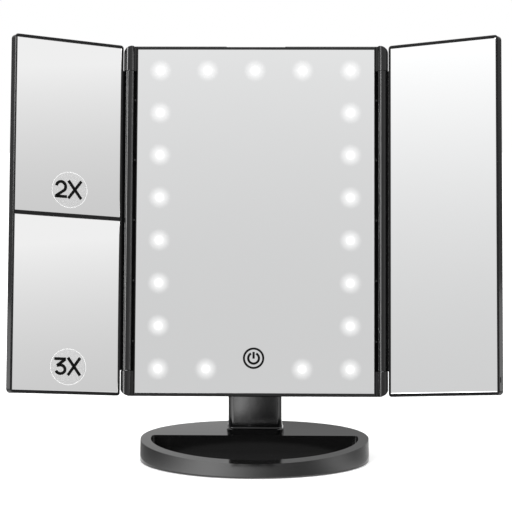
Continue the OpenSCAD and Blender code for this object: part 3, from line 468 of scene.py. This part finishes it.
def closed_sheet(name, front, back, mirrored):
    """A closed sheet from two grids of points: quads over the front and the back, and a
    ring of quads between their outlines."""
    rows, cols = front.shape[:2]
    count = rows * cols
    at = np.arange(count).reshape(rows, cols)
    quads = np.stack([at[:-1, :-1], at[:-1, 1:], at[1:, 1:], at[1:, :-1]], -1).reshape(-1, 4)
    rim = np.concatenate([at[0, :], at[1:, -1], at[-1, -2::-1], at[-2:0:-1, 0]])
    after = np.roll(rim, -1)
    faces = np.concatenate([quads, quads[:, ::-1] + count,
                            np.stack([rim, rim + count, after + count, after], -1)])
    if mirrored:
        faces = faces[:, ::-1]
    mesh = bpy.data.meshes.new(name)
    mesh.from_pydata(np.concatenate([front.reshape(-1, 3), back.reshape(-1, 3)]).tolist(), [],
                     faces.tolist())
    mesh.update()
    return mesh


def glass(name, node, body, place, across, height, material, front=0.0, hollow=0.0,
          bevel=0.0004, mirrored=False):
    """One mirror. Its face lies at y = front + hollow * (1 - r^2 / R^2), with r from its
    middle and R to its corner, and drops by 0.07 mm over the bevel. Its back is flat."""
    (x0, x1), (z0, z1) = across, height
    mid = np.linspace(0, 1, GLASS_POINTS)
    u = np.concatenate([[x0], x0 + bevel + (x1 - x0 - 2 * bevel) * mid, [x1]])
    v = np.concatenate([[z0], z0 + bevel + (z1 - z0 - 2 * bevel) * mid, [z1]])
    x, z = np.meshgrid(u, v)
    r2 = (x - (x0 + x1) / 2) ** 2 + (z - (z0 + z1) / 2) ** 2
    edge = (x == x0) | (x == x1) | (z == z0) | (z == z1)
    y = front + hollow * (1 - r2 / r2.max()) + np.where(edge, EDGE_DROP, 0)
    mesh = closed_sheet(name, place(np.stack([x, y, z], -1)),
                        place(np.stack([x, np.full_like(x, front + GLASS_T), z], -1)), mirrored)
    mesh.polygons.foreach_set("use_smooth", np.ones(len(mesh.polygons), bool))
    mesh.set_sharp_from_angle(angle=math.radians(5))
    mesh.materials.append(material)
    o = bpy.data.objects.new(name, mesh)
    scene.collection.objects.link(o)
    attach(o, body)
    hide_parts(node)


def silver_fields(s, place):
    haze = noise(s, place, 9, 4)
    smear = noise(s, place, 60, 3, (1, 1, 0.35)).between(0.66, 0.8)
    return {"Base_Color": mixed(s, haze, (0.955, 0.96, 0.965), (0.975, 0.98, 0.98)),
            "Roughness": 0.004 + 0.004 * haze + 0.01 * smear}


silver = finished("silvered_glass", {"Metallic": 1.0}, silver_fields)
glass("centre_glass", "centre_mirror", "panel", lean, (-0.08275, 0.08275), (0.0021, 0.2429),
      silver, bevel=0.0002)

# ---------------------------------------------------------------- lights in the glass
# Twenty-one round windows are etched through the silvering: eight at either side, three
# more above, two below. The chips shine through, so each window glows and fades outwards.
LED_X, LED_LOW, LED_STEP, LED_R = 0.0665, 0.0191, 0.029857, 0.0081
LED_SHIFT, TOP_SHIFT = -0.0002, -0.0003
WINDOW_Y, WINDOW_GLOW = -0.00003, 1.12
DISC_RINGS, DISC_BEARINGS = 16, 48
CORE, CORE_R, CORE_EDGE, HALO, HALO_FALL = 0.379, 0.353, 5.64, 0.548, 1.216


def on_glass(name, body, mesh, material):
    """Links what lies on a mirror's face as a piece of its own."""
    mesh.materials.append(material)
    o = bpy.data.objects.new(name, mesh)
    scene.collection.objects.link(o)
    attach(o, body)


def discs(name, body, place, centres, r, y, material, mirrored=False):
    """Flat discs, as polar grids: centre + r * share * (cos a, sin a), with share from
    nearly 0 to 1 kept as the attribute fade, and one face that closes the pole."""
    share, a = np.meshgrid(np.linspace(0.02, 1, DISC_RINGS),
                           np.linspace(0, 2 * np.pi, DISC_BEARINGS, False), indexing="ij")
    cx, cz = np.asarray(centres, float).T[:, :, None, None]
    x, z = cx + r * share * np.cos(a), cz + r * share * np.sin(a)
    points = place(np.stack([x, np.full_like(x, y), z], -1)).reshape(-1, 3)
    at = np.arange(share.size).reshape(share.shape)
    after = np.roll(at, -1, axis=1)
    quads = np.stack([at[:-1], at[1:], after[1:], after[:-1]], -1).reshape(-1, 4)
    pole = at[0][::-1]
    if mirrored:
        quads, pole = quads[:, ::-1], pole[::-1]
    faces = []
    for start in np.arange(len(centres)) * share.size:
        faces += (quads + start).tolist() + [(pole + start).tolist()]
    mesh = bpy.data.meshes.new(name)
    mesh.from_pydata(points.tolist(), [], faces)
    fade = mesh.attributes.new("fade", "FLOAT", "POINT")
    fade.data.foreach_set("value", np.tile(share.reshape(-1), len(centres)))
    on_glass(name, body, mesh, material)


def glow_fields(s, place):
    """A bright core and a halo: 0.379 exp(-(r / 0.353)^5.64) + 0.548 (1 - r)^1.216."""
    r = s.out(s.node("ShaderNodeAttribute", {"attribute_name": "fade"}), "Fac")
    core = ((r * (1 / CORE_R)).math("POWER", CORE_EDGE) * -1.0).math("EXPONENT")
    halo = (1.0 - r).math("MAXIMUM", 0.0).math("POWER", HALO_FALL)
    speckle = noise(s, place, 900, 2)
    return {"Alpha": (CORE * core + HALO * halo) * (0.97 + 0.03 * speckle),
            "Base_Color": mixed(s, speckle, (0.04, 0.04, 0.04), (0.06, 0.06, 0.06))}


window_glow = finished("etched_window_glow",
                       {"Roughness": 0.35, "Emission_Color": (1.0, 1.0, 1.0, 1),
                        "Emission_Strength": WINDOW_GLOW}, glow_fields)
led_places = [(x, LED_LOW + LED_STEP * k) for x in (-LED_X, LED_X) for k in range(8)]
led_places += [(x + TOP_SHIFT, LED_LOW + 7 * LED_STEP) for x in (-LED_X / 2, 0, LED_X / 2)]
led_places += [(x, LED_LOW) for x in (-LED_X / 2, LED_X / 2)]
discs("light_windows", "panel", lean, np.array(led_places) + LED_SHIFT, LED_R, WINDOW_Y,
      window_glow)

# ---------------------------------------------------------------- the key's power sign
# The touch key is a place on the glass, marked by a ring with the standard power sign in
# it: a broken ring and a bar. It is screen printed on the face in matt black ink.
KEY_X, KEY_Z, SIGN_Y = -0.0005, 0.0264, -0.00003
RING_R, RING_W, SIGN_R, SIGN_W, SIGN_GAP = 0.00668, 0.00145, 0.00370, 0.0016, 28
BAR_TOP, BAR_LOW = 0.0044, -0.0003


def ribbon(path, width, closed=False):
    """A flat band along a path: each point moves half the width along its normal."""
    p = np.asarray(path, float)
    d = np.roll(p, -1, 0) - np.roll(p, 1, 0) if closed else np.gradient(p, axis=0)
    d /= np.linalg.norm(d, axis=1)[:, None]
    n = np.stack([-d[:, 1], d[:, 0]], 1) * width / 2
    return np.concatenate([p + n, p - n])


def arc(cx, cz, r, a0, a1, steps=40):
    """Points of an arc from bearing a0 to a1, in degrees."""
    a = np.radians(np.linspace(a0, a1, steps))
    return np.stack([cx + r * np.cos(a), cz + r * np.sin(a)], 1)


def line(a, b, steps=4):
    """Points on a straight stroke."""
    return np.linspace(np.asarray(a, float), np.asarray(b, float), steps)


def printed(name, body, place, strokes, y, material, mirrored=False):
    """Ink bands laid flat on the glass at depth y; each stroke is path, width, closed."""
    points, faces, count = [], [], 0
    for path, width, closed in strokes:
        flat, k = ribbon(path, width, closed), len(path)
        points.append(place(np.stack([flat[:, 0], np.full(2 * k, y), flat[:, 1]], 1)))
        i = np.arange(k if closed else k - 1)
        j = (i + 1) % k
        quads = np.stack([i, j, j + k, i + k], 1) + count
        faces += (quads if mirrored else quads[:, ::-1]).tolist()
        count += 2 * k
    mesh = bpy.data.meshes.new(name)
    mesh.from_pydata(np.concatenate(points).tolist(), [], faces)
    on_glass(name, body, mesh, material)


def ink_fields(s, place):
    grain = noise(s, place, 1500, 2)
    return {"Base_Color": mixed(s, grain, (0.001, 0.001, 0.001), (0.002, 0.002, 0.002)),
            "Roughness": 0.45 + 0.15 * grain}


ink = finished("screen_ink", {"IOR": 1.45, "Specular_IOR_Level": 0.08}, ink_fields)
printed("power_sign", "panel", lean, [
    (arc(KEY_X, KEY_Z, RING_R, 0, 360, 97)[:-1], RING_W, True),
    (arc(KEY_X, KEY_Z, SIGN_R, 90 + SIGN_GAP, 450 - SIGN_GAP, 60), SIGN_W, False),
    (line((KEY_X, KEY_Z + BAR_LOW), (KEY_X, KEY_Z + BAR_TOP), 6), SIGN_W, False)],
    SIGN_Y, ink)

# ---------------------------------------------------------------- the side frames
# Two shallow trays moulded in black ABS, satin but for the gloss of their barrels, which
# turn on steel pins between the ears. The left one has a bar between its two mirrors.
LEFT_BARRELS, RIGHT_BARRELS, WING_EDGE = 0.0918, 0.0945, 0.00008


def within(reach):
    """A test for the barrels and webs, up to a distance from the panel's middle."""
    return lambda at, normal: abs(at[0]) < reach


satin_black = finished("satin_black_abs", {"IOR": 1.5, "Specular_IOR_Level": 0.22},
                       polish(*frame_black), ripple)
moulding("left_frame", "left_wing_frame", "left_wing", satin_black, WING_EDGE,
         lined=(black_gloss, within(LEFT_BARRELS)))
moulding("right_frame", "right_wing_frame", "right_wing", satin_black, WING_EDGE,
         lined=(black_gloss, within(RIGHT_BARRELS)))
dress(zinc, "hinge_pins")

# ---------------------------------------------------------------- the side mirrors
# One plain mirror at the right and two hollow magnifiers at the left, of silvered float
# glass with a polished bevel. Pads of foam tape hold them in their frames.
HINGE_Y, LEFT_TURN, RIGHT_TURN = -0.0005, 32.6, 29.3
WING_ACROSS, WING_FRONT = (0.00605, 0.08645), 0.0005
UPPER_HEIGHT, UPPER_HOLLOW = (0.1239, 0.24285), 0.0004
LOWER_HEIGHT, LOWER_HOLLOW = (0.00215, 0.1212), 0.0007
foam = plain("foam_tape", (0.7, 0.7, 0.68), (0.85, 0.85, 0.83), 0.85, 0.0, 700)
dress(foam, "left_glue_pads", "right_glue_pads")


def swing(p, side, turn):
    """Points of a side panel, turned towards the viewer about its hinge, then leaned."""
    a = math.radians(turn)
    x = HINGE_X + p[..., 0] * math.cos(a) + p[..., 1] * math.sin(a)
    y = HINGE_Y - p[..., 0] * math.sin(a) + p[..., 1] * math.cos(a)
    return lean(np.stack([side * x, y, p[..., 2]], -1))


def on_left(p): return swing(p, -1, LEFT_TURN)
def on_right(p): return swing(p, 1, RIGHT_TURN)


def silver_with_painted_reflection(name, low, high):
    """Silver whose colour is darker at height low and grows brighter up to high along the
    leaning glass, a painted reflection gradient: 0.665 + 0.10 h + 0.235 h^2, with h the share of
    the way."""
    def fields(s, place):
        haze = noise(s, place, 9, 4)
        h = (s.out(s.node("ShaderNodeSeparateXYZ", i0=place), 2) - low) / (high - low)
        tone = (0.665 + 0.10 * h + 0.235 * h * h).math("MINIMUM", 0.98)
        grey = s.node("ShaderNodeCombineColor", Red=tone, Green=tone, Blue=tone)
        return {"Base_Color": s.out(grey), "Roughness": 0.004 + 0.004 * haze}
    return finished(name, {"Metallic": 1.0}, fields)


glass("right_glass", "right_mirror", "right_wing", on_right, WING_ACROSS, (0.00215, 0.24285),
      silver, WING_FRONT)
# The magnifiers' colour darkens towards their lower edges: a painted reflection gradient.
glass("upper_magnifier", "mirror_2x", "left_wing", on_left, WING_ACROSS, UPPER_HEIGHT,
      silver_with_painted_reflection("silver_upper_painted_reflection", 0.162, 0.278), WING_FRONT, UPPER_HOLLOW, mirrored=True)
glass("lower_magnifier", "mirror_3x", "left_wing", on_left, WING_ACROSS, LOWER_HEIGHT,
      silver_with_painted_reflection("silver_lower_painted_reflection", 0.043, 0.159), WING_FRONT, LOWER_HOLLOW, mirrored=True)

# ---------------------------------------------------------------- the magnifiers' stickers
# Each magnifier carries an oval sticker of clear film with a pale rim, stuck near a
# corner of the glass, and its strength printed on it in black: 2X above, 3X below.
PEN, FIGURE_W, CROSS_FROM = 0.00197, 0.0090, 0.0092
STICKER_S, STICKER_Z, RIM_W = 0.0134, 0.0122, 0.0004
STICKER_RISE, LAYER = 0.00035, 0.00001


def figure_two(x, z, w, h, pen):
    """A round-topped two: an arc, a slanting stem and a flat foot."""
    r = w / 2 - pen / 2
    top = arc(x + w / 2, z + h - pen / 2 - r, r, 170, -38, 40)
    foot = (x + pen * 0.55, z + pen * 0.75)
    return [(np.concatenate([top, line(top[-1], foot, 12)[1:]]), pen, False),
            (line((x, z + pen / 2), (x + w, z + pen / 2)), pen, False)]


def figure_three(x, z, w, h, pen):
    """A flat-topped three: a bar, a slant down to a knee, and an oval bowl from there."""
    rx, rz = w * 0.39, h * 0.24
    middle = (x + w - pen / 2 - rx, z + pen / 2 + rz)
    bowl = arc(0, 0, 1, 95, -160, 44) * (rx, rz) + middle
    knee = (x + w * 0.21, z + h * 0.53)
    return [(line((x, z + h - pen / 2), (x + w * 0.95, z + h - pen / 2)), pen, False),
            (line((x + w * 0.91, z + h - pen * 0.6), knee, 8), pen, False),
            (np.concatenate([line(knee, bowl[0], 3)[:-1], bowl]), pen, False)]


def letter_x(x, z, w, h, pen):
    """Two crossed strokes."""
    e = pen * 0.5
    return [(line((x + e, z), (x + w - e, z + h)), pen * 0.98, False),
            (line((x + w - e, z), (x + e, z + h)), pen * 0.98, False)]


def film(name, low, high, rough, alpha):
    """Clear or pale film, of nearly one tone."""
    return finished(name, {"Roughness": rough, "Alpha": alpha}, lambda s, place: {
        "Base_Color": mixed(s, noise(s, place, 300, 2), (low,) * 3, (high,) * 3)})


def face_at(x, z, height, hollow):
    """Depth of a hollow mirror's face: front + hollow * (1 - r^2 / R^2), as in glass."""
    (x0, x1), (z0, z1) = WING_ACROSS, height
    corner2 = ((x1 - x0) / 2) ** 2 + ((z1 - z0) / 2) ** 2
    r2 = (x - (x0 + x1) / 2) ** 2 + (z - (z0 + z1) / 2) ** 2
    return WING_FRONT + hollow * (1 - r2 / corner2)


clear_film = film("clear_sticker", 0.9, 1.0, 0.25, 0.03)
rim_white = film("sticker_rim", 0.85, 1.0, 0.3, 0.6)
for tag, height, hollow, middle, figure, start, low, tall, cross in (
        ("two", UPPER_HEIGHT, UPPER_HOLLOW, (0.0454, 0.1402), figure_two,
         0.0563, 0.1344, 0.0122, 0.0118),
        ("three", LOWER_HEIGHT, LOWER_HOLLOW, (0.0446, 0.0187), figure_three,
         0.0548, 0.0130, 0.0120, 0.0112)):
    y = face_at(*middle, height, hollow) - STICKER_RISE
    discs(f"sticker_{tag}", "left_wing", on_left, [middle], STICKER_Z, y, clear_film,
          True)
    oval = arc(0, 0, 1, 0, 360, 97)[:-1] * (STICKER_S, STICKER_Z) + middle
    printed(f"sticker_{tag}_rim", "left_wing", on_left, [(oval, RIM_W, True)], y - LAYER,
            rim_white, True)
    # The left panel counts its width outwards, so the strokes run the other way.
    strokes = [(path * (-1, 1) + (start, 0), width, closed) for path, width, closed in
               figure(0, low, FIGURE_W, tall, PEN) + letter_x(CROSS_FROM, low, cross, tall, PEN)]
    printed(f"figure_{tag}", "left_wing", on_left, strokes, y - 2 * LAYER, ink)
